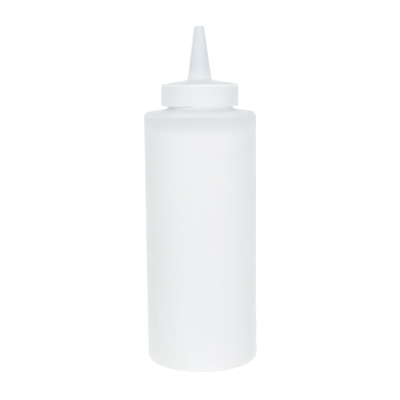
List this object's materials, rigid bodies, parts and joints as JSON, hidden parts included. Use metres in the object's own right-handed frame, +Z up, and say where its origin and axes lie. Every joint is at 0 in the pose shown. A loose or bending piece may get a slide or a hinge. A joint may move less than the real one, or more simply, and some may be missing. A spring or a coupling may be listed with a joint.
{
  "type": "squeeze bottle with cone nozzle cap",
  "caption": "Soft round squeeze bottle for sauce, with a screw cap that carries a cone nozzle and seals on a washer.",
  "frame": {"origin": "middle of the base, on the surface the bottle stands on", "axes": "+Z up along the bottle's axis to the nozzle's tip; the seam across the base lies along X"},
  "size_m": [0.06, 0.06, 0.179],
  "materials": {
    "bottle": "natural low-density polyethylene, milky and slightly translucent, satin",
    "cap": "natural low-density polyethylene, moulded smooth, satin",
    "washer": "soft white silicone, dull"
  },
  "bodies": {
    "bottle": {"bottle": "bottle"},
    "washer": {"sealing_washer": "washer"},
    "cap": {"nozzle_cap": "cap"}
  },
  "joints": [
    {"name": "cap_lift", "type": "slide", "parent": "bottle", "child": "washer", "axis": [0, 0, 1], "range_m": [0, 0.0106]},
    {"name": "cap_turn", "type": "hinge", "parent": "washer", "child": "cap", "pos_m": [0, 0, 0.1424], "axis": [0, 0, 1], "range_deg": [0, 900]}
  ],
  "couplings": [
    {"joint": "cap_lift", "follows": "cap_turn", "m_per_rad": 0.00067376}
  ]
}
